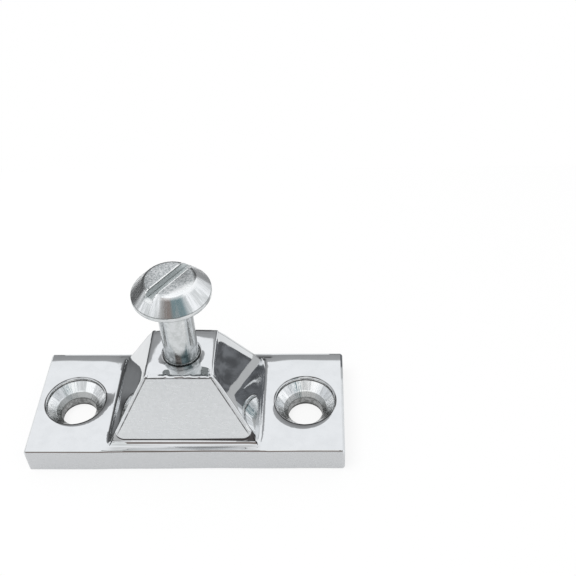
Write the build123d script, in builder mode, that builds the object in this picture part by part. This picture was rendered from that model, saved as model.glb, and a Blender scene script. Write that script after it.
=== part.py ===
from build123d import *
import os

# Deck hinge for a canopy frame: a cast stainless base and the slotted pivot screw that stands in it.
# Millimetres. The origin is the middle of the base's underside, +X along the plate, +Z up the pivot screw.

# Base plate
plate_length = 60.0
plate_width = 25.0
plate_thickness = 5.5
plate_corner_radius = 0.8
plate_rim_radius = 0.45

# Pyramid boss, grown out of the middle of the plate. Its foot leaves a ledge along each long side
# of the plate, and a land beside each countersink.
boss_ledge = 2.0
boss_land = 2.75
boss_top_length = 12.4
boss_top_width = 11.7
boss_height = 13.9
boss_ridge_radius = 0.5
boss_top_edge_radius = 0.25
boss_root_radius = 1.4

# Countersunk screw holes, set in from the plate's ends
screw_hole_inset = 7.5
screw_hole_radius = 3.4
countersink_radius = 5.75
countersink_angle = 86.0
countersink_lip = 0.8
countersink_rim_radius = 0.3

# Pivot screw, from its foot upwards
shank_radius = 3.15
free_length = 14.6
foot_radius = 3.42
foot_thickness = 0.55
foot_edge_radius = 0.15
flare_height = 1.7
head_radius = 7.0
head_rim_thickness = 0.88
head_height = 3.75
head_flat_radius = 4.4
head_edge_radius = 0.2
slot_width = 1.8
slot_depth = 1.35
slot_angle = 54.0

# Threaded end, drawn at its crest, and the tapped hole that it runs in
thread_radius = 2.95
thread_length = 9.0
thread_relief_radius = 2.4
thread_relief_length = 0.9
thread_tip_chamfer = 0.6
thread_clearance = 0.05
tapped_hole_spare = 1.6

# Recess in the top of the boss that the screw's foot seats in
recess_depth = 0.35
recess_clearance = 0.3

# Spacings that follow from the sizes above
screw_hole_spacing = plate_length - 2 * screw_hole_inset
boss_foot_length = screw_hole_spacing - 2 * (countersink_radius + boss_land)
boss_foot_width = plate_width - 2 * boss_ledge

# Levels that follow from the sizes above
boss_top = plate_thickness + boss_height
seat_level = boss_top - recess_depth
thread_tip = seat_level - thread_length
hole_floor = thread_tip - tapped_hole_spare
foot_top = seat_level + foot_thickness
shank_start = foot_top + flare_height
head_underside = boss_top + free_length
head_rim_top = head_underside + head_rim_thickness
head_top = head_underside + head_height

# The flare is one arc, tangent to the shank where it starts
flare_step = foot_radius - foot_edge_radius - shank_radius
flare_radius = (flare_step**2 + flare_height**2) / (2 * flare_step)

with BuildPart() as hinge_base:
    # The boss: its outline seen from the front, cut to its outline seen from the end
    with BuildSketch(Plane.XZ):
        with BuildLine():
            Polyline(
                (-boss_foot_length / 2, plate_thickness),
                (boss_foot_length / 2, plate_thickness),
                (boss_top_length / 2, boss_top),
                (-boss_top_length / 2, boss_top),
                close=True,
            )
        make_face()
    extrude(amount=boss_foot_width / 2, both=True)
    with BuildSketch(Plane.YZ):
        with BuildLine():
            Polyline(
                (-boss_foot_width / 2, plate_thickness),
                (boss_foot_width / 2, plate_thickness),
                (boss_top_width / 2, boss_top),
                (-boss_top_width / 2, boss_top),
                close=True,
            )
        make_face()
    extrude(amount=boss_foot_length / 2, both=True, mode=Mode.INTERSECT)

    # The plate under it, with its upright corners rounded
    with BuildSketch():
        RectangleRounded(plate_length, plate_width, plate_corner_radius)
    extrude(amount=plate_thickness)

    # The four sloping ridges, then the edge of the flat top
    ridges = (
        hinge_base.edges()
        .filter_by(Axis.X, reverse=True)
        .filter_by(Axis.Y, reverse=True)
        .filter_by_position(Axis.Z, plate_thickness, boss_top, inclusive=(False, False))
    )
    fillet(ridges, boss_ridge_radius)
    boss_face = hinge_base.faces().sort_by(Axis.Z)[-1]
    fillet(boss_face.outer_wire().edges(), boss_top_edge_radius)

    # The root, where the boss runs into the plate's top face
    plate_face = hinge_base.faces().filter_by(Axis.Z).sort_by(Axis.Z)[1]
    fillet(plate_face.inner_wires()[0].edges(), boss_root_radius)

    # The polished rim round the plate's top face
    plate_face = hinge_base.faces().filter_by(Axis.Z).sort_by(Axis.Z)[1]
    fillet(plate_face.outer_wire().edges(), plate_rim_radius)

    # The countersunk screw holes, sunk below a short upright lip, with their rims polished round
    with Locations(Plane.XY.offset(plate_thickness - countersink_lip)):
        with GridLocations(screw_hole_spacing, 0, 2, 1):
            CounterSinkHole(
                radius=screw_hole_radius,
                counter_sink_radius=countersink_radius,
                counter_sink_angle=countersink_angle,
            )
    plate_face = hinge_base.faces().filter_by(Axis.Z).sort_by(Axis.Z)[1]
    rims = plate_face.edges().filter_by(GeomType.CIRCLE).sort_by(SortBy.RADIUS)[-2:]
    fillet(rims, countersink_rim_radius)

    # The tapped hole and the recess round its mouth
    with Locations(Plane.XY.offset(boss_top)):
        Hole(radius=thread_radius + thread_clearance, depth=boss_top - hole_floor)
        Hole(radius=foot_radius + recess_clearance, depth=recess_depth)

with BuildPart() as pivot_screw:
    # Half of the turned profile, from the tip of the thread round to the flat of the head
    with BuildSketch(Plane.XZ):
        with BuildLine():
            Polyline(
                (0, thread_tip),
                (thread_radius - thread_tip_chamfer, thread_tip),
                (thread_radius, thread_tip + thread_tip_chamfer),
                (thread_radius, seat_level - thread_relief_length),
                (thread_relief_radius, seat_level - thread_relief_length),
                (thread_relief_radius, seat_level),
                (foot_radius, seat_level),
                (foot_radius, foot_top - foot_edge_radius),
            )
            RadiusArc(
                (foot_radius, foot_top - foot_edge_radius),
                (foot_radius - foot_edge_radius, foot_top),
                -foot_edge_radius,
            )
            RadiusArc(
                (foot_radius - foot_edge_radius, foot_top),
                (shank_radius, shank_start),
                flare_radius,
            )
            Polyline(
                (shank_radius, shank_start),
                (shank_radius, head_underside),
                (head_radius, head_underside),
                (head_radius, head_rim_top),
                (head_flat_radius, head_top),
                (0, head_top),
                (0, thread_tip),
            )
        make_face()
    revolve(axis=Axis.Z)

    # The softened edges of the head: both edges of its rim, and the edge of its flat
    head_edges = pivot_screw.edges().filter_by(GeomType.CIRCLE).sort_by(SortBy.RADIUS)[-3:]
    fillet(head_edges, head_edge_radius)

    # The screwdriver slot, right across the head
    with BuildSketch(Plane.XY.offset(head_top)):
        Rectangle(2 * head_radius + slot_width, slot_width, rotation=slot_angle)
    extrude(amount=-slot_depth, mode=Mode.SUBTRACT)

os.makedirs("parts", exist_ok=True)

hinge_base.part.label = "hinge_base"
export_step(hinge_base.part, "parts/hinge_base.step")

pivot_screw.part.label = "pivot_screw"
export_step(pivot_screw.part, "parts/pivot_screw.step")

print("overall height", round(head_top, 2))
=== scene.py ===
"""Deck hinge for a canopy frame: a polished casting and the slotted pivot screw that stands in it.

Both pieces are modelled in millimetres, brought to metres when they are finished, and dressed
with procedural metal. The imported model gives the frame, the bodies and the places.
"""

import logging
import math
from dataclasses import dataclass
from enum import Enum
from typing import Callable, Sequence

import bpy
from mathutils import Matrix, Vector

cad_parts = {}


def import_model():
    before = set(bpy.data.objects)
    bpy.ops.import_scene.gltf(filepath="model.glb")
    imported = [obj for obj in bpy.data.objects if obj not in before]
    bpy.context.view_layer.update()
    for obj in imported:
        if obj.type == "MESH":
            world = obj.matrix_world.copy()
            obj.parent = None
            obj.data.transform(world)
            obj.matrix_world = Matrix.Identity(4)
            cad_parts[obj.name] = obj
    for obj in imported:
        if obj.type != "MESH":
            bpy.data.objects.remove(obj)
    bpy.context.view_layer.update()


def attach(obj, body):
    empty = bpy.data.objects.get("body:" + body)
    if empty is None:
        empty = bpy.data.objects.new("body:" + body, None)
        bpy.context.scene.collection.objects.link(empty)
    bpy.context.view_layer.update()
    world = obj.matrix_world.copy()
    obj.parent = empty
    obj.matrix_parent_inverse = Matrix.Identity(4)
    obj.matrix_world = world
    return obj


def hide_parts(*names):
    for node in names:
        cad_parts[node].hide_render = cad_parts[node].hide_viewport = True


LOG = logging.getLogger("deck_hinge")
MM = 0.001
Outline = list[tuple[float, float]]
Colour = tuple[float, float, float]
Socket = bpy.types.NodeSocket
EdgeTest = Callable[[Vector, Vector], bool]


class Body(Enum):
    """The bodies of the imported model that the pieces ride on."""

    BASE = "base"
    SCREW = "screw"


class Slot(Enum):
    """The record's material slots."""

    CASTING = "polished_casting"
    SCREW = "turned_screw"


class Cut(Enum):
    """Ways in which one solid works on another."""

    JOIN = "UNION"
    REMOVE = "DIFFERENCE"
    KEEP_COMMON = "INTERSECT"


# Modelling bench


class Bench:
    """Keeps Blender's modes and selection in order while a piece is modelled, in millimetres."""

    @staticmethod
    def clear() -> None:
        """Leaves object mode with nothing selected."""
        active = bpy.context.view_layer.objects.active
        if active and active.mode != "OBJECT":
            bpy.ops.object.mode_set(mode="OBJECT")
        bpy.ops.object.select_all(action="DESELECT")

    @staticmethod
    def pick(piece: bpy.types.Object) -> None:
        """Makes one object the only one that operators act on.

        Args:
            piece: The object to work on.
        """
        Bench.clear()
        piece.select_set(True)
        bpy.context.view_layer.objects.active = piece

    @staticmethod
    def named(name: str) -> bpy.types.Object:
        """Takes over the primitive that was just added.

        Args:
            name: The name that the object and its mesh get.

        Returns:
            The object, with its place applied to its mesh.
        """
        piece = bpy.context.object
        piece.name = name
        piece.data.name = name
        bpy.ops.object.transform_apply(location=True, rotation=True, scale=True)
        return piece

    @staticmethod
    def block(name: str, size: Sequence[float], centre: Sequence[float],
              turn: float = 0.0) -> bpy.types.Object:
        """Adds a block.

        Args:
            name: Name of the new object.
            size: Its length, width and height.
            centre: Its middle.
            turn: Angle about Z, in radians.

        Returns:
            The block.
        """
        Bench.clear()
        bpy.ops.mesh.primitive_cube_add(size=1.0, location=centre, rotation=(0.0, 0.0, turn))
        bpy.context.object.scale = size
        return Bench.named(name)

    @staticmethod
    def lathe(name: str, outline: Outline, steps: int) -> bpy.types.Object:
        """Turns a closed solid about Z from half of its outline.

        Args:
            name: Name of the new object.
            outline: Points (radius, height), from one end on the axis to the other.
            steps: Number of facets round the axis.

        Returns:
            The turned solid.
        """
        Bench.clear()
        bpy.context.tool_settings.mesh_select_mode = (True, False, False)
        bpy.ops.mesh.primitive_plane_add(size=1.0)
        piece = Bench.named(name)
        bpy.ops.object.mode_set(mode="EDIT")
        bpy.ops.mesh.select_all(action="SELECT")
        bpy.ops.mesh.merge(type="CENTER")
        bpy.ops.transform.translate(value=(outline[0][0], 0.0, outline[0][1]))
        for (r0, z0), (r1, z1) in zip(outline, outline[1:]):
            bpy.ops.mesh.extrude_region_move(TRANSFORM_OT_translate={"value": (r1 - r0, 0.0, z1 - z0)})
        bpy.ops.mesh.select_all(action="SELECT")
        bpy.ops.mesh.spin(steps=steps, angle=2.0 * math.pi, center=(0.0, 0.0, 0.0), axis=(0.0, 0.0, 1.0))
        bpy.ops.mesh.select_all(action="SELECT")
        bpy.ops.mesh.remove_doubles(threshold=1e-4)
        bpy.ops.mesh.normals_make_consistent(inside=False)
        Bench.clear()
        return piece

    @staticmethod
    def shift(piece: bpy.types.Object, by: Sequence[float]) -> bpy.types.Object:
        """Moves a solid, in its mesh.

        Args:
            piece: The solid.
            by: The move along X, Y and Z.

        Returns:
            The same solid.
        """
        Bench.pick(piece)
        bpy.ops.object.mode_set(mode="EDIT")
        bpy.ops.mesh.select_all(action="SELECT")
        bpy.ops.transform.translate(value=tuple(by))
        Bench.clear()
        return piece

    @staticmethod
    def open_edges(piece: bpy.types.Object, test: EdgeTest) -> int:
        """Opens edit mode with the edges selected whose two ends pass a test.

        Args:
            piece: The solid.
            test: Says of an edge's two ends whether the edge is wanted.

        Returns:
            How many edges were selected.
        """
        Bench.pick(piece)
        bpy.context.tool_settings.mesh_select_mode = (False, True, False)
        mesh = piece.data
        for part in (mesh.vertices, mesh.edges, mesh.polygons):
            part.foreach_set("select", [False] * len(part))
        count = 0
        for edge in mesh.edges:
            first, second = (mesh.vertices[i].co for i in edge.vertices)
            edge.select = test(first, second)
            count += edge.select
        bpy.ops.object.mode_set(mode="EDIT")
        return count

    @staticmethod
    def bevel(piece: bpy.types.Object, test: EdgeTest, width: float,
              segments: int, profile: float = 0.5) -> None:
        """Rounds the edges that pass a test.

        Args:
            piece: The solid.
            test: Says of an edge's two ends whether it is rounded.
            width: Distance from the old edge to the new ones.
            segments: Facets across the rounding.
            profile: 0.5 is an arc, and more is a fuller curve with a long, soft run-out.
        """
        count = Bench.open_edges(piece, test)
        if count == 0:
            raise ValueError(f"{piece.name}: no edge passes the test for a {width} mm rounding")
        bpy.ops.mesh.bevel(offset_type="OFFSET", offset=width, segments=segments, profile=profile,
                           affect="EDGES", clamp_overlap=False)
        Bench.clear()

    @staticmethod
    def slice_up(piece: bpy.types.Object, normal: Sequence[float], places: Sequence[float],
                 test: EdgeTest | None = None) -> None:
        """Cuts faces along parallel planes, so that they can be pressed into a curve.

        Args:
            piece: The solid.
            normal: The planes' unit normal.
            places: Distance of each plane from the origin.
            test: Says of a face's middle and normal whether it is cut. Without it all are.
        """
        for place in places:
            Bench.pick(piece)
            if test:
                bpy.context.tool_settings.mesh_select_mode = (False, False, True)
                mesh = piece.data
                for part in (mesh.vertices, mesh.edges):
                    part.foreach_set("select", [False] * len(part))
                mesh.polygons.foreach_set("select", [test(f.center, f.normal) for f in mesh.polygons])
            bpy.ops.object.mode_set(mode="EDIT")
            if not test:
                bpy.ops.mesh.select_all(action="SELECT")
            bpy.ops.mesh.bisect(plane_co=tuple(place * n for n in normal), plane_no=tuple(normal))
        Bench.clear()

    @staticmethod
    def press(piece: bpy.types.Object, axis: str, amount: float, share: Callable[[Vector], float]) -> None:
        """Moves points along an axis, each by its own share of a distance.

        Args:
            piece: The solid.
            axis: X, Y or Z.
            amount: The distance for a share of 1.
            share: Gives the share at a point, from 0 to 1.
        """
        Bench.pick(piece)
        group = piece.vertex_groups.new(name="press")
        for vertex in piece.data.vertices:
            part = share(vertex.co)
            if part > 0.0:
                group.add([vertex.index], part, "REPLACE")
        modifier = piece.modifiers.new("press", "DISPLACE")
        modifier.direction = axis
        modifier.mid_level = 0.0
        modifier.strength = amount
        modifier.vertex_group = group.name
        bpy.ops.object.modifier_apply(modifier=modifier.name)
        piece.vertex_groups.clear()

    @staticmethod
    def combine(piece: bpy.types.Object, tool: bpy.types.Object, cut: Cut) -> None:
        """Joins a second solid to a piece, cuts it out, or keeps what they share.

        Args:
            piece: The solid that stays.
            tool: The solid that is used up.
            cut: What is done with it.
        """
        Bench.pick(piece)
        modifier = piece.modifiers.new(cut.name, "BOOLEAN")
        modifier.operation = cut.value
        modifier.solver = "EXACT"
        modifier.object = tool
        bpy.ops.object.modifier_apply(modifier=modifier.name)
        bpy.data.objects.remove(tool)

    @staticmethod
    def volume(piece: bpy.types.Object) -> float:
        """Measures a closed solid.

        Args:
            piece: The solid.

        Returns:
            Its volume, below zero when its faces look inwards.
        """
        mesh = piece.data
        mesh.calc_loop_triangles()
        total = 0.0
        for triangle in mesh.loop_triangles:
            first, second, third = (mesh.vertices[i].co for i in triangle.vertices)
            total += first.dot(second.cross(third)) / 6.0
        return total

    @staticmethod
    def finish(piece: bpy.types.Object, sharp_above: float) -> None:
        """Cleans a solid, shades it and brings it from millimetres to metres.

        Args:
            piece: The solid.
            sharp_above: Angle in degrees above which an edge stays sharp.
        """
        Bench.pick(piece)
        bpy.ops.object.mode_set(mode="EDIT")
        bpy.ops.mesh.select_all(action="SELECT")
        bpy.ops.mesh.dissolve_degenerate(threshold=1e-5)
        bpy.ops.mesh.select_all(action="SELECT")
        bpy.ops.mesh.fill_holes(sides=0)
        bpy.ops.mesh.normals_make_consistent(inside=False)
        bpy.ops.object.mode_set(mode="OBJECT")
        turned_in = Bench.volume(piece) < 0.0
        bpy.ops.object.mode_set(mode="EDIT")
        bpy.ops.mesh.select_all(action="SELECT")
        if turned_in:
            bpy.ops.mesh.flip_normals()
        bpy.ops.transform.resize(value=(MM, MM, MM), center_override=(0.0, 0.0, 0.0))
        bpy.ops.object.mode_set(mode="OBJECT")
        bpy.ops.object.shade_smooth_by_angle(angle=math.radians(sharp_above))
        weighted = piece.modifiers.new("flat_faces_first", "WEIGHTED_NORMAL")
        weighted.mode = "FACE_AREA"
        weighted.weight = 60
        weighted.keep_sharp = True
        bpy.ops.object.modifier_apply(modifier=weighted.name)
        Bench.clear()

    @staticmethod
    def arc(centre: tuple[float, float], radius: float, start: float, end: float, points: int) -> Outline:
        """Gives the points of an arc for a lathe's outline.

        Args:
            centre: The arc's middle, as (radius, height).
            radius: Radius of the arc.
            start: Angle of its first point, in degrees from straight outwards towards up.
            end: Angle of its last point.
            points: Number of points, with both ends.

        Returns:
            The points in order.
        """
        turns = [math.radians(start + (end - start) * i / (points - 1)) for i in range(points)]
        return [(centre[0] + radius * math.cos(t), centre[1] + radius * math.sin(t)) for t in turns]


@dataclass(frozen=True)
class ThreadForm:
    """A right-hand screw thread of one pitch, as a ridge round a core.

    Attributes:
        core: Radius at the foot of the ridge.
        crest: Radius at its top.
        pitch: Rise in one turn.
        crest_width: Width of the ridge's flat top.
    """

    core: float
    crest: float
    pitch: float = 1.0
    crest_width: float = 0.125

    def ridge(self, name: str, bottom: float, turns: int, sink: float = 0.06) -> bpy.types.Object:
        """Winds the ridge.

        Args:
            name: Name of the new object.
            bottom: Height of the middle of the ridge where it starts.
            turns: Number of turns.
            sink: How far the ridge reaches into the core.

        Returns:
            The ridge as a closed solid.
        """
        inner = self.core - sink
        depth = self.crest - inner
        foot_width = self.crest_width + 2.0 * depth * math.tan(math.radians(30.0))
        Bench.clear()
        bpy.ops.mesh.primitive_plane_add(size=1.0, rotation=(math.pi / 2.0, 0.0, 0.0),
                                         location=((inner + self.crest) / 2.0, 0.0, bottom))
        bpy.context.object.scale = (depth, foot_width, 1.0)
        piece = Bench.named(name)
        Bench.open_edges(piece, lambda a, b: min(a.x, b.x) > self.crest - 1e-3)
        bpy.ops.transform.resize(value=(1.0, 1.0, self.crest_width / foot_width),
                                 center_override=(self.crest, 0.0, bottom))
        bpy.ops.mesh.select_all(action="SELECT")
        bpy.ops.mesh.delete(type="ONLY_FACE")
        bpy.ops.object.mode_set(mode="OBJECT")
        screw = piece.modifiers.new("wind", "SCREW")
        screw.axis = "Z"
        screw.angle = 2.0 * math.pi
        screw.screw_offset = self.pitch
        screw.iterations = turns
        screw.steps = 56
        screw.render_steps = 56
        bpy.ops.object.modifier_apply(modifier=screw.name)
        bpy.ops.object.mode_set(mode="EDIT")
        bpy.ops.mesh.select_all(action="SELECT")
        bpy.ops.mesh.fill_holes(sides=0)
        bpy.ops.mesh.normals_make_consistent(inside=False)
        Bench.clear()
        return piece


# Node drawing


class NodeSheet:
    """Draws nodes on one node tree."""

    def __init__(self, tree: bpy.types.NodeTree) -> None:
        """Starts on an empty tree.

        Args:
            tree: The tree to draw on. Its nodes are removed.
        """
        self.tree = tree
        tree.nodes.clear()

    def node(self, kind: str, inputs: dict | None = None, **settings: object) -> bpy.types.Node:
        """Adds a node.

        Args:
            kind: The node's type name.
            inputs: Values or sockets by input name or number.
            settings: Properties of the node itself.

        Returns:
            The node.
        """
        made = self.tree.nodes.new(kind)
        made.location = (220 * (len(self.tree.nodes) % 9), -190 * (len(self.tree.nodes) // 9))
        for key, value in settings.items():
            setattr(made, key, value)
        for key, value in (inputs or {}).items():
            self.feed(made.inputs[key], value)
        return made

    def feed(self, socket: Socket, value: object) -> None:
        """Wires a socket to another one, or sets its number.

        Args:
            socket: The input.
            value: A socket, a number or a tuple.
        """
        if isinstance(value, bpy.types.NodeSocket):
            self.tree.links.new(value, socket)
        elif isinstance(value, tuple) and len(value) == 3 and socket.type == "RGBA":
            socket.default_value = (*value, 1.0)
        else:
            socket.default_value = value

    def calc(self, operation: str, *values: object) -> Socket:
        """Adds a Math node and gives its result."""
        return self.node("ShaderNodeMath", dict(enumerate(values)), operation=operation).outputs[0]

    def minus(self, first: object, second: object) -> Socket:
        """Takes a second value from a first one."""
        return self.calc("SUBTRACT", first, second)

    def size(self, value: object) -> Socket:
        """Gives a value without its sign."""
        return self.calc("ABSOLUTE", value)

    def product(self, first: object, *others: object) -> Socket:
        """Multiplies values.

        Args:
            first: The first one.
            others: The others.

        Returns:
            Their product.
        """
        for other in others:
            first = self.calc("MULTIPLY", first, other)
        return first

    def most(self, first: object, *others: object) -> Socket:
        """Finds the largest of some values.

        Args:
            first: The first one.
            others: The others.

        Returns:
            The largest.
        """
        for other in others:
            first = self.calc("MAXIMUM", first, other)
        return first

    def add_up(self, start: object, *parts: tuple[object, object]) -> Socket:
        """Adds values, each times its own factor.

        Args:
            start: What the sum starts with.
            parts: Pairs of a value and a factor.

        Returns:
            The sum.
        """
        for value, factor in parts:
            start = self.calc("MULTIPLY_ADD", value, factor, start)
        return start

    def ramp(self, value: object, low: float, high: float, out_low: float = 0.0,
             out_high: float = 1.0) -> Socket:
        """Maps a value smoothly from one range to another.

        Args:
            value: The value.
            low: Where the change starts.
            high: Where it ends.
            out_low: Result at and before the start.
            out_high: Result at and after the end.

        Returns:
            The mapped value.
        """
        made = self.node("ShaderNodeMapRange", {0: value, 1: low, 2: high, 3: out_low, 4: out_high},
                         interpolation_type="SMOOTHSTEP")
        return made.outputs[0]

    def below(self, value: object, low: float, high: float, strength: float = 1.0) -> Socket:
        """Masks what lies below a soft limit."""
        return self.ramp(value, low, high, strength, 0.0)

    def line(self, value: object, middle: object, core: float, edge: float, strength: float = 1.0) -> Socket:
        """Masks a line where a value is near a middle one.

        Args:
            value: The value.
            middle: What it is on the line.
            core: Half the width of the line's full middle.
            edge: Half its whole width.
            strength: The mask in its middle.

        Returns:
            The mask.
        """
        return self.below(self.size(self.minus(value, middle)), core, edge, strength)

    def mix(self, factor: object, first: object, second: object) -> Socket:
        """Blends two colours.

        Args:
            factor: Share of the second one.
            first: The first colour.
            second: The second colour.

        Returns:
            The blend.
        """
        made = self.node("ShaderNodeMix", data_type="RGBA")
        for place, value in ((0, factor), (6, first), (7, second)):
            self.feed(made.inputs[place], value)
        return made.outputs[2]

    def coats(self, ground: object, *coats: tuple[object, object]) -> Socket:
        """Lays colours over a ground, one after the other.

        Args:
            ground: The ground's colour.
            coats: Pairs of a mask and a colour.

        Returns:
            The colour that results.
        """
        for mask, colour in coats:
            ground = self.mix(mask, ground, colour)
        return ground

    def noise(self, vector: object, scale: float, detail: float = 2.0, roughness: float = 0.5) -> Socket:
        """Adds a Noise texture.

        Args:
            vector: Where it is read.
            scale: Lumps in one unit.
            detail: Octaves.
            roughness: Strength of the finer ones.

        Returns:
            Its value, about 0.5 in the mean.
        """
        inputs = {"Vector": vector, "Scale": scale, "Detail": detail, "Roughness": roughness}
        return self.node("ShaderNodeTexNoise", inputs).outputs["Fac"]

    def stretch(self, vector: object, scale: Colour, turn: float = 0.0) -> Socket:
        """Scales a pattern's coordinates and turns them about Z, by an angle in radians."""
        inputs = {"Vector": vector, "Scale": scale, "Rotation": (0.0, 0.0, turn)}
        return self.node("ShaderNodeMapping", inputs).outputs[0]

    def axes(self, vector: object) -> tuple[Socket, ...]:
        """Takes a vector apart into X, Y and Z."""
        return tuple(self.node("ShaderNodeSeparateXYZ", {0: vector}).outputs)

    def vector(self, x: object, y: object, z: object) -> Socket:
        """Puts a vector together from X, Y and Z."""
        return self.node("ShaderNodeCombineXYZ", {0: x, 1: y, 2: z}).outputs[0]

    def along(self, vector: object, way: tuple[float, float, float]) -> Socket:
        """Measures how far a point lies along a direction."""
        made = self.node("ShaderNodeVectorMath", {0: vector, 1: way}, operation="DOT_PRODUCT")
        return made.outputs["Value"]

    def bump(self, height: object) -> Socket:
        """Turns a height in millimetres into a normal."""
        return self.node("ShaderNodeBump", {"Strength": 1.0, "Distance": MM, "Height": height}).outputs[0]

    @staticmethod
    def material(name: str) -> tuple[bpy.types.Material, "NodeSheet"]:
        """Starts a material.

        Args:
            name: Its name.

        Returns:
            The material, and its empty sheet.
        """
        made = bpy.data.materials.new(name)
        made.use_nodes = True
        return made, NodeSheet(made.node_tree)

    def surface(self, shader: bpy.types.Node) -> None:
        """Shows a shader as the material's surface."""
        self.node("ShaderNodeOutputMaterial", {"Surface": shader.outputs[0]})


class Effect:
    """A surface effect that is drawn once as a node group and placed in each finish that uses it.

    Its inputs are numbers, given here with their usual values, and a Vector: object coordinates in
    millimetres.
    """

    name = ""
    inputs: dict[str, float] = {}
    outputs: tuple[str, ...] = ()

    @classmethod
    def draw(cls, sheet: NodeSheet, given: dict[str, Socket]) -> dict[str, Socket]:
        """Draws the effect.

        Args:
            sheet: The group's sheet.
            given: Its inputs by name.

        Returns:
            Its outputs by name.
        """
        raise NotImplementedError

    @classmethod
    def place(cls, sheet: NodeSheet, vector: Socket, **values: float) -> dict[str, Socket]:
        """Places the effect in a finish.

        Args:
            sheet: The finish's sheet.
            vector: Object coordinates in millimetres.
            values: Values by input name, with _ for a space.

        Returns:
            The outputs by name.
        """
        tree = bpy.data.node_groups.get(cls.name)
        if tree is None:
            tree = bpy.data.node_groups.new(cls.name, "ShaderNodeTree")
            tree.interface.new_socket(name="Vector", in_out="INPUT", socket_type="NodeSocketVector")
            for label, usual in cls.inputs.items():
                socket = tree.interface.new_socket(name=label, in_out="INPUT", socket_type="NodeSocketFloat")
                socket.default_value = usual
            for label in cls.outputs:
                tree.interface.new_socket(name=label, in_out="OUTPUT", socket_type="NodeSocketFloat")
            inner = NodeSheet(tree)
            given = {socket.name: socket for socket in inner.node("NodeGroupInput").outputs}
            inner.node("NodeGroupOutput", cls.draw(inner, given))
        made = sheet.node("ShaderNodeGroup", node_tree=tree)
        sheet.feed(made.inputs["Vector"], vector)
        for key, value in values.items():
            sheet.feed(made.inputs[key.replace("_", " ")], value)
        return {socket.name: socket for socket in made.outputs}


class HandPolish(Effect):
    """Slow waves and fine swirls that a buffing wheel leaves, as a height in millimetres."""

    name = "hand_polish"
    inputs = {"Wave Depth": 0.02, "Swirl Depth": 0.0004}
    outputs = ("Height",)

    @classmethod
    def draw(cls, sheet: NodeSheet, given: dict[str, Socket]) -> dict[str, Socket]:
        """Adds slow waves of about 9 mm to swirls of about 0.4 mm.

        Args:
            sheet: The group's sheet.
            given: Its inputs by name.

        Returns:
            The height.
        """
        waves = sheet.product(sheet.noise(given["Vector"], 0.11, 1.0, 0.35), given["Wave Depth"])
        swirls = sheet.product(sheet.noise(given["Vector"], 2.4, 3.0, 0.6), given["Swirl Depth"])
        return {"Height": sheet.calc("ADD", waves, swirls)}


class BuffLines(Effect):
    """Fine straight lines of a belt or mop, drawn along X."""

    name = "buff_lines"
    inputs = {"Depth": 0.0006}
    outputs = ("Mask", "Height")

    @classmethod
    def draw(cls, sheet: NodeSheet, given: dict[str, Socket]) -> dict[str, Socket]:
        """Stretches two noises along X.

        Args:
            sheet: The group's sheet.
            given: Its inputs by name.

        Returns:
            The lines as a mask and as a height.
        """
        coarse = sheet.noise(sheet.stretch(given["Vector"], (0.5, 2.6, 2.6)), 1.0, 3.0, 0.6)
        fine = sheet.noise(sheet.stretch(given["Vector"], (1.6, 7.0, 7.0)), 1.0, 2.0, 0.6)
        both = sheet.add_up(sheet.product(fine, 0.5), (coarse, 0.5))
        return {"Mask": sheet.ramp(both, 0.3, 0.7), "Height": sheet.product(both, given["Depth"])}


class CastingPits(Effect):
    """A few pin-sized pits that polishing has opened in the casting."""

    name = "casting_pits"
    inputs = {"Spacing": 3.2, "Share": 0.22}
    outputs = ("Mask",)

    @classmethod
    def draw(cls, sheet: NodeSheet, given: dict[str, Socket]) -> dict[str, Socket]:
        """Keeps a share of Voronoi points and makes each a dot.

        Args:
            sheet: The group's sheet.
            given: Its inputs by name.

        Returns:
            The pits as a mask.
        """
        scale = sheet.calc("DIVIDE", 1.0, given["Spacing"])
        cells = sheet.node("ShaderNodeTexVoronoi", {"Vector": given["Vector"], "Scale": scale}).outputs
        draw = sheet.node("ShaderNodeSeparateColor", {0: cells["Color"]}).outputs[0]
        kept = sheet.calc("LESS_THAN", draw, given["Share"])
        return {"Mask": sheet.product(sheet.below(cells["Distance"], 0.022, 0.05), kept)}


class TurnedRings(Effect):
    """The rings of a lathe tool round Z, and the spokes of light and shade that go with them."""

    name = "turned_rings"
    inputs = {"Ring Depth": 0.0008}
    outputs = ("Height", "Spokes", "Wedges", "Radius")

    @classmethod
    def draw(cls, sheet: NodeSheet, given: dict[str, Socket]) -> dict[str, Socket]:
        """Reads the distance from the axis and the angle about it.

        Args:
            sheet: The group's sheet.
            given: Its inputs by name.

        Returns:
            The rings' height, the spokes, a few broad wedges and the radius in millimetres.
        """
        x, y, z = sheet.axes(given["Vector"])
        radius = sheet.calc("SQRT", sheet.add_up(sheet.product(y, y), (x, x)))
        angle = sheet.calc("ARCTAN2", y, x)
        rings = sheet.noise(sheet.vector(radius, z, 0.0), 7.0, 2.0, 0.7)
        about = sheet.vector(sheet.calc("COSINE", angle), sheet.calc("SINE", angle), sheet.product(z, 0.03))
        return {"Height": sheet.product(rings, given["Ring Depth"]), "Radius": radius,
                "Spokes": sheet.ramp(sheet.noise(about, 6.5, 4.0, 0.65), 0.38, 0.62),
                "Wedges": sheet.ramp(sheet.noise(about, 3.4, 1.0, 0.4), 0.5, 0.58)}


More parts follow.
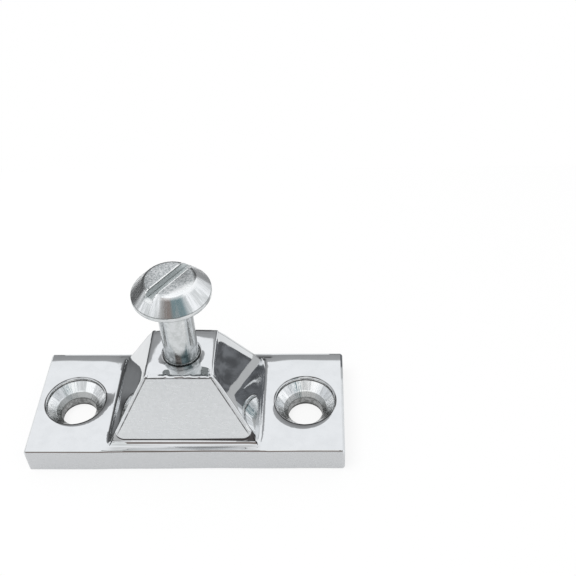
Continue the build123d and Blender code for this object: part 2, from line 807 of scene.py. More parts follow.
class Spot:
    """The place on a piece that a finish is worked out for.

    Attributes:
        at: Object coordinates in millimetres, and x, y and z apart.
        side_x: Distance from the middle along X, whichever the side, and side_y the same along Y.
        up: How much the surface faces up, below zero where it faces down.
        level: The same without its sign.
        end: How much it faces along X, either way.
        front: How much it faces along Y, either way.
    """

    def __init__(self, sheet: NodeSheet) -> None:
        """Reads the coordinates and the normal.

        Args:
            sheet: The finish's sheet.
        """
        places = sheet.node("ShaderNodeTexCoord").outputs
        self.at = sheet.stretch(places["Object"], (1.0 / MM, 1.0 / MM, 1.0 / MM))
        self.x, self.y, self.z = sheet.axes(self.at)
        self.side_x = sheet.size(self.x)
        self.side_y = sheet.size(self.y)
        along_x, along_y, self.up = sheet.axes(places["Normal"])
        self.end = sheet.size(along_x)
        self.front = sheet.size(along_y)
        self.level = sheet.size(self.up)


# The two pieces


@dataclass(frozen=True)
class Dish:
    """The shallow dish that the mop has worn round a screw hole, in millimetres.

    Attributes:
        side: -1 for the left screw hole, 1 for the right one.
        steepness: How fast it falls away inwards, per millimetre squared.
        off_x: How far its middle lies from the hole's, along X.
        off_y: The same along Y.
        radius: Where it starts.
    """

    side: float
    steepness: float
    off_x: float
    off_y: float
    radius: float = 7.0


@dataclass(frozen=True)
class HingeBase:
    """The casting: an oblong plate with two countersunk holes and a pyramid boss. Sizes in millimetres."""

    plate_length: float = 60.0
    plate_width: float = 25.0
    plate_thickness: float = 5.5
    edge_width: float = 0.45
    edge_fullness: float = 0.36
    front_waver: float = 0.35
    roll_width: float = 2.9
    roll_depth: float = 0.09
    corner_fall: float = 0.9
    underside_edge: float = 0.3
    foot_length: float = 28.0
    foot_width: float = 21.0
    top_length: float = 12.4
    top_width: float = 11.7
    boss_height: float = 13.9
    ridge_width: float = 0.72
    ridge_fullness: float = 0.72
    side_bow: float = 0.26
    bow_run: float = 2.8
    pillow_width: float = 2.4
    pillow_depth: float = 0.08
    front_pillow: float = 3.8
    lean: float = 0.55
    root_width: float = 0.75
    root_corner: float = 2.7
    root_swell: float = 0.26
    hole_x: float = 22.5
    hole_radius: float = 3.4
    sink_radius: float = 5.75
    sink_half_angle: float = 43.0
    sink_lip: float = 0.8
    rim_radius: float = 0.3
    bore_radius: float = 3.0
    bore_floor: float = 8.45
    seat_radius: float = 3.72
    seat_depth: float = 0.35
    mouth_radius: float = 4.6
    mouth_depth: float = 0.55
    neck_rise: float = 0.2
    dishes: tuple[Dish, ...] = (Dish(-1.0, 0.07, 0.42, 0.15), Dish(1.0, 0.065, -0.35, -0.5))
    facets: int = 128

    @property
    def boss_top(self) -> float:
        """Height of the boss's flat top."""
        return self.plate_thickness + self.boss_height

    @property
    def lean_x(self) -> float:
        """How far the boss's end faces lean inwards for each millimetre of height."""
        return (self.foot_length - self.top_length) / 2.0 / self.boss_height

    @property
    def lean_y(self) -> float:
        """How far its front and back lean inwards for each millimetre of height."""
        return (self.foot_width - self.top_width) / 2.0 / self.boss_height

    @property
    def cone_foot(self) -> float:
        """Height at which a countersink's cone meets its bore."""
        depth = (self.sink_radius - self.hole_radius) / math.tan(math.radians(self.sink_half_angle))
        return self.plate_thickness - self.sink_lip - depth

    def plate(self) -> bpy.types.Object:
        """Makes the plate, with its upper edges and corners buffed to a long soft run-out.

        Returns:
            The plate.
        """
        t = self.plate_thickness
        piece = Bench.block("base_casting", (self.plate_length, self.plate_width, t), (0.0, 0.0, t / 2.0))
        Bench.bevel(piece, lambda a, b: max(a.z, b.z) > t - 1e-3, self.edge_width, 10, self.edge_fullness)
        Bench.bevel(piece, lambda a, b: max(a.z, b.z) < 1e-3, self.underside_edge, 4)
        front = -self.plate_width / 2.0 + self.edge_width + 0.05
        columns = [2.0 * i - (self.plate_length / 2.0 - 2.0) for i in range(29)]
        Bench.slice_up(piece, (1.0, 0.0, 0.0), columns, lambda c, n: c.y < front)

        def waver(p: Vector) -> float:
            """Gives the share by which the belt has taken the front side back at a point."""
            if p.y > front:
                return 0.0
            bulge = math.exp(-((p.x + 21.5) / 6.5) ** 2)
            return 0.52 + 0.38 * math.tanh((p.x + 6.0) / 14.0) - 0.56 * bulge + 0.08 * math.sin(0.31 * p.x)

        Bench.press(piece, "Y", self.front_waver, lambda p: min(max(waver(p), 0.0), 1.0))
        return piece

    def boss(self) -> bpy.types.Object:
        """Makes the boss, a four-sided pyramid cut off flat, which reaches 1 mm into the plate.

        Returns:
            The boss.
        """
        low, high = self.plate_thickness - 1.0, self.boss_top
        grow = 1.0 / self.boss_height
        length = self.foot_length + (self.foot_length - self.top_length) * grow
        width = self.foot_width + (self.foot_width - self.top_width) * grow
        piece = Bench.block("boss", (length, width, high - low), (0.0, 0.0, (low + high) / 2.0))
        Bench.open_edges(piece, lambda a, b: min(a.z, b.z) > high - 1e-3)
        bpy.ops.transform.resize(value=(self.top_length / length, self.top_width / width, 1.0),
                                 center_override=(0.0, 0.0, high))
        Bench.bevel(piece, lambda a, b: max(a.z, b.z) > high - 1e-3, self.ridge_width, 8, self.ridge_fullness)
        self.bow_sides(piece)
        self.pillow_top(piece)
        return piece

    def bow_sides(self, piece: bpy.types.Object) -> None:
        """Bows the boss's two end faces outwards between their ridges, most at the foot.

        Args:
            piece: The boss, before it is joined to the plate.
        """
        half_x, half_y, high = self.foot_length / 2.0, self.foot_width / 2.0, self.boss_top
        face = Vector((1.0, 0.0, self.lean_x)).normalized()
        outward = face.cross(Vector((-self.lean_x, self.lean_y, 1.0))).normalized()
        corner = Vector((half_x, -half_y, self.plate_thickness))

        def inside(p: Vector) -> float:
            """Gives the distance of a point from the nearer ridge of its end face."""
            return outward.dot(corner - Vector((abs(p.x), -abs(p.y), p.z)))

        def share(p: Vector) -> float:
            """Gives the share of the bow at a point."""
            near = min(max(1.0 - inside(p) / self.bow_run, 0.0), 1.0)
            return (1.0 - near**2) * min(max((high - p.z) / self.boss_height, 0.0), 1.0) ** 1.3

        for side in (-1.0, 1.0):
            for end in (-1.0, 1.0):
                normal = Vector((side * outward.x, -end * outward.y, outward.z))
                at_ridge = normal.dot(Vector((side * half_x, end * half_y, self.plate_thickness)))
                places = [at_ridge - 0.75 - 0.3 * i for i in range(8)]
                Bench.slice_up(piece, normal, places, lambda c, n: n.x * side > 0.5)
            Bench.slice_up(piece, (0.0, 0.0, 1.0), [high - 1.2 - 1.1 * i for i in range(12)],
                           lambda c, n: n.x * side > 0.5)
            Bench.press(piece, "X", side * self.side_bow, lambda p: share(p) if p.x * side > 0.0 else 0.0)

    def soften_root_corners(self, piece: bpy.types.Object) -> None:
        """Swells the boss's front and back at their lower corners, where the mop didn't reach.

        Args:
            piece: The casting, with its boss joined and its root rounded.
        """
        t = self.plate_thickness
        reach = t + self.root_corner + 0.6

        def on_front(centre: Vector, normal: Vector) -> bool:
            """Says whether a face belongs to the boss's front or back."""
            on_boss = t < centre.z < self.boss_top - 1.0 and abs(centre.y) < self.foot_width / 2.0
            return on_boss and abs(normal.y) > 0.5

        def share(p: Vector) -> float:
            """Gives the share of the swelling at a point."""
            up = p.z - t
            edge_x = self.foot_length / 2.0 - self.lean_x * max(up, 0.0)
            edge_y = self.foot_width / 2.0 - self.lean_y * max(up, 0.0)
            on_face = edge_y - 0.7 < abs(p.y) < self.plate_width / 2.0 - 0.9
            if not (on_face and -0.01 < up < self.root_corner):
                return 0.0
            beside = max(edge_x - abs(p.x), 0.0)
            if beside > self.root_corner or abs(p.x) > edge_x + 0.3:
                return 0.0
            out = math.hypot(self.root_corner - beside, self.root_corner - up) / self.root_corner - 1.0
            return min(max(out / 0.414, 0.0), 1.0) ** 1.6 * min(1.0, up / 0.5)

        levels = [t + 0.25 + 0.3 * i for i in range(int((reach - t) / 0.3) + 1)]
        Bench.slice_up(piece, (0.0, 0.0, 1.0), levels, on_front)
        columns = [self.foot_length / 2.0 - 0.1 - 0.3 * i for i in range(15)]
        Bench.slice_up(piece, (1.0, 0.0, 0.0), columns + [-c for c in columns], on_front)
        Bench.press(piece, "Y", -self.root_swell, lambda p: share(p) if p.y < 0.0 else 0.0)
        Bench.press(piece, "Y", self.root_swell, lambda p: share(p) if p.y > 0.0 else 0.0)

    def pillow_top(self, piece: bpy.types.Object) -> None:
        """Lets the boss's flat top fall away softly towards its four edges.

        Args:
            piece: The boss, before it is joined to the plate.
        """
        high = self.boss_top
        half_x, half_y = self.top_length / 2.0, self.top_width / 2.0
        steps = [0.7 + 0.35 * i for i in range(15)]

        def on_top(centre: Vector, normal: Vector) -> bool:
            """Says whether a face belongs to the flat top."""
            return normal.z > 0.9 and centre.z > high - 0.2

        for normal, half in (((1.0, 0.0, 0.0), half_x), ((0.0, 1.0, 0.0), half_y)):
            for side in (-1.0, 1.0):
                Bench.slice_up(piece, normal, [side * (half - step) for step in steps], on_top)

        def fall(p: Vector) -> float:
            """Gives the share of the fall at a point."""
            if p.z < high - 1.4:
                return 0.0
            near_x = max(1.0 - (half_x - abs(p.x)) / self.pillow_width, 0.0)
            width = self.pillow_width if p.y > 0.0 else 1.3 * self.pillow_width
            near_y = max(1.0 - (half_y - abs(p.y)) / width, 0.0)
            near_y *= 1.0 if p.y > 0.0 else math.sqrt(self.front_pillow)
            back = (p.y + half_y) / (2.0 * half_y)
            strip = max(1.0 - (half_x - abs(p.x)) / 3.2, 0.0) * max(back, 0.0)**1.5
            whole = (near_x**2 + near_y**2) / 2.0 + self.lean * strip
            mouth = (self.mouth_radius - math.hypot(p.x, p.y)) / (self.mouth_radius - self.seat_radius)
            whole += self.mouth_depth * min(max(mouth, 0.0), 1.3) ** 1.6
            return min(whole, 2.0) / 2.0 * min((p.z - high + 1.4) / 0.4, 1.0)

        Bench.press(piece, "Z", -4.0 * self.pillow_depth, fall)

    def roll_off(self, piece: bpy.types.Object) -> None:
        """Lets the plate's top fall away softly towards its edges, as a mop leaves it.

        Args:
            piece: The casting, with its holes cut.
        """
        half_x, half_y, t = self.plate_length / 2.0, self.plate_width / 2.0, self.plate_thickness
        steps = [0.6 + 0.25 * i for i in range(int((self.roll_width - 0.6) / 0.25) + 1)]
        for normal, half in (((1.0, 0.0, 0.0), half_x), ((0.0, 1.0, 0.0), half_y)):
            for side in (-1.0, 1.0):
                Bench.slice_up(piece, normal, [side * (half - step) for step in steps])
        columns = [15.3 + 0.6 * i for i in range(11)]
        rows = [9.2, 8.6, 8.0, 7.4, 6.8, 5.7, 5.1, 4.5, 3.9, 3.3, 2.7, 2.1, 1.5, 0.9, 0.3]

        def on_plate(centre: Vector, normal: Vector) -> bool:
            """Says whether a face belongs to the plate's flat top."""
            return normal.z > 0.98 and abs(centre.z - t) < 0.3

        Bench.slice_up(piece, (1.0, 0.0, 0.0), columns + [-c for c in columns], on_plate)
        Bench.slice_up(piece, (0.0, 1.0, 0.0), rows + [-r for r in rows], on_plate)

        def fall(p: Vector) -> float:
            """Gives the share of the fall at a point."""
            if not (t - 1.3 <= p.z <= t + 0.05):
                return 0.0
            near_x = max(1.0 - (half_x - abs(p.x)) / self.roll_width, 0.0)
            near_y = max(1.0 - (half_y - abs(p.y)) / self.roll_width, 0.0)
            fade = min((p.z - (t - 1.3)) / 0.3, 1.0)
            if abs(p.x) < half_x - self.edge_width:
                near_x *= 0.4
            reach = 6.2 if p.x > 0.0 else 4.8
            corner = max(1.0 - math.hypot(abs(p.x) - 15.2, abs(p.y) - half_y) / reach, 0.0)
            if abs(p.x) < 14.9:
                corner = 0.0
            return min(near_x**2 + near_y**2 + self.corner_fall * corner**2, 2.0) / 2.0 * fade

        Bench.press(piece, "Z", -2.0 * self.roll_depth, fall)

        def neck(p: Vector) -> float:
            """Gives the share of the rise between the left screw hole and the boss's root."""
            if not (t - 0.4 < p.z < t + 1.5 and -17.2 < p.x < -12.0):
                return 0.0
            climb = min(max((p.x + 17.0) / 1.9, 0.0), 1.0)
            return climb * math.exp(-((p.y + 1.3) / 2.1) ** 2) * min(max((t + 1.5 - p.z) / 1.2, 0.0), 1.0)

        Bench.press(piece, "Z", self.neck_rise, neck)

    def countersink(self) -> bpy.types.Object:
        """Makes the cutter of one screw hole: bore, cone, upright lip and rounded rim.

        Returns:
            The cutter, on the Z axis.
        """
        t = self.plate_thickness
        bore, wide = self.hole_radius, self.sink_radius
        lip_foot = t - self.sink_lip
        rim = Bench.arc((wide + self.rim_radius, t - self.rim_radius), self.rim_radius, 180.0, 90.0, 7)
        outline = [(0.0, -1.0), (bore + 0.5, -1.0), (bore + 0.5, -0.3), (bore, 0.2),
                   (bore, self.cone_foot - 0.08), (bore + 0.07, self.cone_foot + 0.06),
                   (wide - 0.08, lip_foot - 0.08), (wide, lip_foot + 0.06)]
        outline += rim + [(wide + self.rim_radius, t + 1.0), (0.0, t + 1.0)]
        return Bench.lathe("countersink", outline, self.facets)

    def buffed_lip(self, dish: Dish) -> bpy.types.Object:
        """Makes the shallow dish that the mop has worn into the plate round a screw hole.

        Args:
            dish: Its form.

        Returns:
            The cutter, on the Z axis.
        """
        t = self.plate_thickness
        inner = self.sink_radius - 1.2
        steps = 9
        radii = [inner + (dish.radius - inner) * i / steps for i in range(steps + 1)]
        fall = [(r, t - dish.steepness * (dish.radius - r) ** 2) for r in radii]
        outline = [(0.0, fall[0][1])] + fall + [(dish.radius, t + 1.0), (0.0, t + 1.0)]
        return Bench.lathe("buffed_lip", outline, self.facets)

    def tapped_hole(self) -> bpy.types.Object:
        """Makes the cutter of the tapped hole, with its groove, and of the seat round its mouth.

        Returns:
            The cutter.
        """
        seat = self.boss_top - self.seat_depth
        soft = Bench.arc((self.seat_radius + 0.12, self.boss_top - 0.12), 0.12, 180.0, 90.0, 5)
        outline = [(0.0, self.bore_floor - 1.2), (self.bore_radius, self.bore_floor),
                   (self.bore_radius, seat), (self.seat_radius, seat)]
        outline += soft + [(self.seat_radius + 0.12, self.boss_top + 1.0), (0.0, self.boss_top + 1.0)]
        cutter = Bench.lathe("tapped_hole", outline, 96)
        form = ThreadForm(core=self.bore_radius, crest=self.bore_radius + 0.3, crest_width=0.2)
        groove = form.ridge("thread_groove", self.bore_floor + 0.9, 9)
        Bench.combine(cutter, groove, Cut.JOIN)
        return cutter

    def build(self) -> bpy.types.Object:
        """Models the casting.

        Returns:
            The finished piece.
        """
        piece = self.plate()
        t = self.plate_thickness
        Bench.combine(piece, self.boss(), Cut.JOIN)
        reach_x, reach_y = self.foot_length / 2.0 + 0.5, self.foot_width / 2.0 + 0.05
        Bench.bevel(piece, lambda a, b: all(abs(p.z - t) < 1e-3 and abs(p.x) < reach_x and abs(p.y) < reach_y
                                            for p in (a, b)), self.root_width, 8)
        self.soften_root_corners(piece)
        for dish in self.dishes:
            hole_x = dish.side * self.hole_x
            lip = Bench.shift(self.buffed_lip(dish), (hole_x + dish.off_x, dish.off_y, 0.0))
            Bench.combine(piece, lip, Cut.REMOVE)
            Bench.combine(piece, Bench.shift(self.countersink(), (hole_x, 0.0, 0.0)), Cut.REMOVE)
        Bench.combine(piece, self.tapped_hole(), Cut.REMOVE)
        self.roll_off(piece)
        Bench.finish(piece, 38.0)
        return piece

    def dress(self, piece: bpy.types.Object) -> None:
        """Finishes the casting and fixes it to its body.

        Args:
            piece: The modelled casting.
        """
        piece.data.materials.clear()
        piece.data.materials.append(MirrorPolish(self).make())
        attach(piece, Body.BASE.value)
        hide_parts("hinge_base")


@dataclass(frozen=True)
class PivotScrew:
    """The turned screw: slotted cone head, shank, flared foot and threaded end. Sizes in millimetres."""

    seat: float = 19.05
    shank_radius: float = 3.15
    head_underside: float = 34.0
    foot_radius: float = 3.42
    foot_thickness: float = 0.55
    flare_height: float = 1.7
    head_radius: float = 7.0
    rim_thickness: float = 0.88
    head_height: float = 3.75
    flat_radius: float = 4.4
    head_edge: float = 0.2
    shoulder: float = 1.2
    slot_width: float = 1.8
    slot_depth: float = 1.35
    slot_turn: float = 54.0
    slot_edge: float = 0.13
    thread_core: float = 2.36
    thread_crest: float = 2.95
    thread_length: float = 9.0
    relief_length: float = 0.9
    relief_radius: float = 2.4
    tip_chamfer: float = 0.6
    facets: int = 144

    @property
    def head_top(self) -> float:
        """Height of the flat of the head."""
        return self.head_underside + self.head_height

    def flare(self) -> Outline:
        """Gives the hollow curve from the foot's bead up to the shank.

        Returns:
            The curve's points, from the foot upwards.
        """
        edge = 0.15
        foot_top = self.seat + self.foot_thickness
        step = self.foot_radius - edge - self.shank_radius
        radius = (step**2 + self.flare_height**2) / (2.0 * step)
        sweep = math.degrees(math.asin(self.flare_height / radius))
        bead = Bench.arc((self.foot_radius - edge, foot_top - edge), edge, 0.0, 90.0, 6)
        middle = (self.shank_radius + radius, foot_top + self.flare_height)
        hollow = Bench.arc(middle, radius, 180.0 + sweep, 180.0, 9)
        return bead + hollow[1:]

    def head(self) -> Outline:
        """Gives the head's outline, from its underside round to the middle of its flat.

        Returns:
            The outline's points.
        """
        e, r = self.head_edge, self.head_radius
        z0, z1, z2 = self.head_underside, self.head_underside + self.rim_thickness, self.head_top
        slope = math.degrees(math.atan2(r - self.flat_radius, z2 - z1))
        half = math.radians(slope / 2.0)
        tangent = e * math.tan(half)
        lower = Bench.arc((r - e, z0 + e), e, -90.0, 0.0, 6)
        upper = Bench.arc((r - e, z1 - tangent), e, 0.0, slope, 6)
        run = self.shoulder * math.tan(math.radians((90.0 - slope) / 2.0))
        shoulder = Bench.arc((self.flat_radius - run, z2 - self.shoulder), self.shoulder, slope, 90.0, 10)
        return lower + upper + shoulder + [(0.0, z2)]

    def blank(self) -> bpy.types.Object:
        """Turns the whole screw, with its thread at root size.

        Returns:
            The turned blank.
        """
        tip = self.seat - self.thread_length
        relief = self.seat - self.relief_length
        outline = [(0.0, tip), (self.thread_core - 0.2, tip), (self.thread_core, tip + 0.2),
                   (self.thread_core, relief), (self.relief_radius, relief + 0.04),
                   (self.relief_radius, self.seat), (self.foot_radius - 0.06, self.seat),
                   (self.foot_radius, self.seat + 0.06)]
        outline += self.flare()
        fillet = Bench.arc((self.shank_radius + 0.18, self.head_underside - 0.18), 0.18, 180.0, 90.0, 5)
        outline += fillet + self.head()
        return Bench.lathe("turned_pivot_screw", outline, self.facets)

    def thread(self) -> bpy.types.Object:
        """Winds the thread and turns its ends down to the chamfer and the relief.

        Returns:
            The thread's ridge.
        """
        tip = self.seat - self.thread_length
        end = self.seat - self.relief_length
        ridge = ThreadForm(self.thread_core, self.thread_crest).ridge("thread_ridge", tip - 0.4, 9)
        full = self.thread_crest + 0.02
        outline = [(0.0, tip + 0.02), (self.thread_crest - self.tip_chamfer, tip + 0.02),
                   (full, tip + self.tip_chamfer + 0.02), (full, end - 0.3), (2.5, end), (0.0, end)]
        Bench.combine(ridge, Bench.lathe("thread_envelope", outline, 96), Cut.KEEP_COMMON)
        return ridge

    def build(self) -> bpy.types.Object:
        """Models the screw.

        Returns:
            The finished piece.
        """
        piece = self.blank()
        Bench.combine(piece, self.thread(), Cut.JOIN)
        floor = self.head_top - self.slot_depth
        turn = math.radians(self.slot_turn)
        slot = Bench.block("slot", (20.0, self.slot_width, 4.0), (0.0, 0.0, floor + 2.0), turn)
        Bench.combine(piece, slot, Cut.REMOVE)
        across = Vector((-math.sin(turn), math.cos(turn), 0.0))

        def brink(a: Vector, b: Vector) -> bool:
            """Says whether an edge runs along the top of one of the slot's walls."""
            half = self.slot_width / 2.0
            on_wall = all(abs(abs(p.dot(across)) - half) < 1e-3 and p.z > floor - 1e-3 for p in (a, b))
            return on_wall and max(a.z, b.z) > floor + 1e-3 and (a - b).length > 1e-4

        Bench.bevel(piece, brink, self.slot_edge, 3)
        Bench.finish(piece, 34.0)
        return piece

    def dress(self, piece: bpy.types.Object) -> None:
        """Finishes the screw and fixes it to its body.

        Args:
            piece: The modelled screw.
        """
        piece.data.materials.clear()
        piece.data.materials.append(TurnedSteel(self).make())
        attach(piece, Body.SCREW.value)
        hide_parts("pivot_screw")


# Finishes


@dataclass(frozen=True)
class MirrorPolish:
    """Cast stainless, mirror-polished on its top and boss, and finely buffed on its upright sides.

    Attributes:
        base: The casting, whose sizes give the places.
        steel: Colour of the polished steel.
        worn: Colour of its duller patches.
        mirror: Roughness where it is a mirror.
        satin: Roughness of the upright sides and of the boss's front and back.
        satin_side: Colour of the plate's upright sides.
        painted_dark_lines: Colour of the painted shade along the boss's root and of the painted dark
            reflections beside its ridges and edges.
        root: Height of that line of painted shade, in millimetres.
        ridge_line: Distance of the painted dark reflection lines beside the ridges from them, in millimetres.
        sunk: Roughness that the countersinks have more than the top.
        drilled_and_shade: Colour of the screw holes' bores, which are left as the drill cut them, and of the
            painted shade on the countersinks' front sides and spokes.
        painted_highlight: Colour of the painted highlights in the countersinks: bright wedges and a ring
            where the cone meets the bore.
        soil_and_shade: Colour of the pits, of the dark mottling in the bores, and of the painted shade in the
            tapped hole and in the dark lines round the screw holes.
    """

    base: HingeBase
    steel: Colour = (0.79, 0.805, 0.815)
    worn: Colour = (0.67, 0.685, 0.695)
    mirror: float = 0.035
    satin: float = 0.26
    satin_side: Colour = (0.60, 0.605, 0.615)
    painted_dark_lines: Colour = (0.05, 0.045, 0.045)
    root: float = 6.4
    ridge_line: float = 0.64
    sunk: float = 0.1
    drilled_and_shade: Colour = (0.46, 0.465, 0.46)
    painted_highlight: Colour = (0.98, 0.99, 0.99)
    soil_and_shade: Colour = (0.1, 0.098, 0.095)

    def over_root(self, sheet: NodeSheet, spot: Spot) -> Socket:
        """Measures the height above the line where the boss's satin ends, which turns up at both ends.

        Args:
            sheet: The material's sheet.
            spot: The place.

        Returns:
            The height in millimetres.
        """
        turn_up = sheet.node("ShaderNodeMapRange", {0: spot.side_x, 1: 11.0, 2: 12.7}).outputs[0]
        level_part = sheet.calc("SQRT", sheet.minus(1.0, sheet.product(turn_up, turn_up)))
        return sheet.minus(spot.z, sheet.add_up(self.root, (sheet.minus(1.0, level_part), 1.6)))

    def painted_root_shade(self, sheet: NodeSheet, spot: Spot, over_root: Socket) -> Socket:
        """Masks painted shade: a dark line along the root crease, thicker on the left, and a dark wedge at
        each end of it.

        Args:
            sheet: The material's sheet.
            spot: The place.
            over_root: Height above the line.

        Returns:
            The mask.
        """
        on_boss = sheet.ramp(spot.side_y, 9.2, 9.5)
        thickness = sheet.ramp(spot.x, -6.0, 12.0, 1.15, 0.6)
        line = sheet.product(sheet.below(sheet.product(sheet.size(over_root), thickness), 0.11, 0.22),
                             on_boss, sheet.below(spot.side_x, 12.3, 12.9))
        wedge = sheet.product(sheet.below(over_root, -0.1, 0.15), on_boss, sheet.ramp(spot.z, 5.9, 6.2),
                              sheet.ramp(spot.side_x, 10.6, 12.2), sheet.below(spot.side_x, 13.3, 13.6),
                              sheet.ramp(spot.x, -2.0, 2.0, 0.45, 0.97))
        return sheet.most(line, wedge)

    def painted_edge_reflections(self, sheet: NodeSheet, spot: Spot) -> Socket:
        """Masks painted dark reflections: thin lines beside the ridges, under the top's edge and along the
        plate's back edge.

        Args:
            sheet: The material's sheet.
            spot: The place.

        Returns:
            The mask.
        """
        base = self.base
        up_boss = sheet.minus(spot.z, base.plate_thickness)
        ridge_x = sheet.add_up(base.foot_length / 2.0 - self.ridge_line, (up_boss, -base.lean_x))
        ridge_y = sheet.add_up(base.foot_width / 2.0 - self.ridge_line, (up_boss, -base.lean_y))
        ridge = sheet.most(sheet.line(spot.side_x, ridge_x, 0.06, 0.16),
                           sheet.line(spot.z, base.boss_top - self.ridge_line, 0.06, 0.16))
        on_front = sheet.product(sheet.ramp(spot.front, 0.6, 0.8), sheet.ramp(spot.z, 7.2, 8.4), ridge)
        on_end = sheet.product(sheet.ramp(spot.end, 0.6, 0.8), sheet.ramp(spot.z, 6.4, 7.4, 0.0, 0.6),
                               sheet.line(spot.side_y, ridge_y, 0.04, 0.12))
        broken = sheet.ramp(sheet.noise(spot.at, 0.6, 3.0, 0.6), 0.3, 0.6, 0.35, 0.9)
        back_edge = sheet.product(sheet.ramp(spot.y, 12.12, 12.3), sheet.ramp(spot.z, 4.9, 5.1), 0.6)
        return sheet.most(sheet.product(sheet.most(on_front, on_end), broken), back_edge)

    def streaks(self, sheet: NodeSheet, spot: Spot) -> Socket:
        """Masks the grey streaks on the ledges in front of the boss and behind it.

        Args:
            sheet: The material's sheet.
            spot: The place.

        Returns:
            The mask.
        """
        ledge = sheet.product(sheet.ramp(spot.side_y, 10.3, 11.2), sheet.below(spot.side_x, 12.0, 15.0),
                              sheet.ramp(spot.z, 5.2, 5.4))
        drawn = sheet.noise(sheet.stretch(spot.at, (0.05, 2.6, 1.0)), 1.0, 3.0, 0.65)
        return sheet.product(ledge, sheet.ramp(drawn, 0.4, 0.62, 0.12, 0.9))

    def screw_hole(self, sheet: NodeSheet, spot: Spot, colour: Socket) -> tuple[Socket, ...]:
        """Colours the two screw holes, each about its own axis.

        Args:
            sheet: The material's sheet.
            spot: The place.
            colour: The casting's colour.

        Returns:
            The new colour, the masks of the countersink and of the bore left by the drill, and the height of
            the rings and of the marks that the tool left by chattering.
        """
        base = self.base
        top, lip_foot = base.plate_thickness, base.plate_thickness - base.sink_lip
        about = sheet.vector(sheet.minus(spot.side_x, base.hole_x), spot.y, spot.z)
        marks = TurnedRings.place(sheet, about, Ring_Depth=0.004)
        radius = marks["Radius"]
        inside = sheet.product(sheet.below(radius, base.sink_radius - 0.05, base.sink_radius + 0.1),
                               sheet.below(spot.z, top - 0.25, top - 0.05))
        bore = sheet.product(sheet.below(radius, 3.5, 3.75), sheet.below(spot.level, 0.2, 0.5))
        # Painted shade: darker spokes round the countersink, which are also bumped as chatter marks, and a
        # darker front side
        chatter_and_shade = sheet.product(inside, marks["Spokes"])
        painted_front_shade = sheet.product(inside, sheet.ramp(spot.y, -3.0, 1.0, 0.75, 0.0))
        # Painted highlights: bright wedges on the countersink's back side and a bright ring at the top of the
        # bore's colour
        bright = sheet.product(marks["Wedges"], sheet.ramp(spot.y, -2.5, 0.5), inside)
        step = sheet.product(sheet.below(radius, 4.15, 4.3), inside)
        brink = sheet.product(inside, sheet.line(radius, 4.3, 0.05, 0.12, 0.8),
                              sheet.ramp(sheet.noise(spot.at, 0.7, 2.0, 0.5), 0.35, 0.55))
        mottle = sheet.ramp(sheet.noise(spot.at, 1.9, 3.0, 0.6), 0.38, 0.62, 0.0, 0.6)
        # Painted shade: dark lines at the foot of the lip, at the foot of the cone, low in the bore and
        # beside the rim
        rounds = sheet.most(sheet.line(spot.z, lip_foot + 0.02, 0.06, 0.13),
                            sheet.line(spot.z, base.cone_foot - 0.03, 0.08, 0.2, 0.3),
                            sheet.below(spot.z, 0.45, 0.75))
        rim = sheet.product(sheet.line(radius, base.sink_radius + 0.24, 0.08, 0.17),
                            sheet.ramp(spot.z, 4.8, 4.95))
        lines = sheet.product(sheet.most(sheet.product(rounds, sheet.below(radius, 5.8, 5.9)), rim),
                              sheet.ramp(sheet.noise(spot.at, 0.5, 2.0, 0.5), 0.35, 0.6, 0.6, 1.0))
        colour = sheet.coats(colour, (sheet.product(chatter_and_shade, 0.45), self.drilled_and_shade), (painted_front_shade, self.drilled_and_shade),
                             (bright, self.painted_highlight), (sheet.most(bore, step), self.drilled_and_shade),
                             (brink, self.painted_highlight), (sheet.product(bore, mottle), self.soil_and_shade),
                             (lines, self.soil_and_shade))
        height = sheet.add_up(sheet.product(marks["Height"], inside), (chatter_and_shade, 0.03))
        return colour, inside, bore, height

    def make(self) -> bpy.types.Material:
        """Draws the material.

        Returns:
            The material.
        """
        material, sheet = NodeSheet.material("mirror_polished_casting")
        spot = Spot(sheet)
        lines = BuffLines.place(sheet, spot.at, Depth=0.00022)
        mop = BuffLines.place(sheet, sheet.stretch(spot.at, (1.0, 1.0, 1.0), math.pi / 2.0), Depth=0.012)
        pits = CastingPits.place(sheet, spot.at)["Mask"]
        radius = TurnedRings.place(sheet, spot.at)["Radius"]
        # Painted shade: the tapped hole below its seat's rim is coloured near black, as shade round the
        # screw's foot
        tapped = sheet.product(sheet.below(radius, 3.5, self.base.seat_radius),
                               sheet.below(spot.z, self.base.boss_top - 0.3, self.base.boss_top - 0.1))
        upright = sheet.below(spot.level, 0.05, 0.25)
        over_root = self.over_root(sheet, spot)
        on_fronts = sheet.product(sheet.ramp(spot.front, 0.78, 0.9),
                                  sheet.most(sheet.ramp(over_root, 0.02, 0.14), upright))
        buffed = sheet.most(sheet.ramp(spot.end, 0.93, 0.98), on_fronts)

        # Colour
        patches = sheet.ramp(sheet.noise(spot.at, 0.35, 3.0, 0.6), 0.35, 0.75, 0.0, 0.35)
        blotches = sheet.ramp(sheet.noise(spot.at, 1.6, 4.0, 0.7), 0.35, 0.65, 0.0, 0.35)
        worn = sheet.most(sheet.product(patches, sheet.minus(1.0, buffed)), sheet.product(buffed, blotches))
        # Painted shade in the root crease and its corners, and painted dark reflections beside the ridges and
        # along the edges
        dark = sheet.most(self.painted_root_shade(sheet, spot, over_root), self.painted_edge_reflections(sheet, spot))
        colour = sheet.coats(self.steel, (worn, self.worn), (sheet.product(pits, 0.6), self.soil_and_shade),
                             (sheet.product(upright, 0.75), self.satin_side),
                             (self.streaks(sheet, spot), self.drilled_and_shade), (dark, self.painted_dark_lines))
        colour, in_hole, bore, hole_height = self.screw_hole(sheet, spot, colour)
        colour = sheet.mix(tapped, colour, self.soil_and_shade)

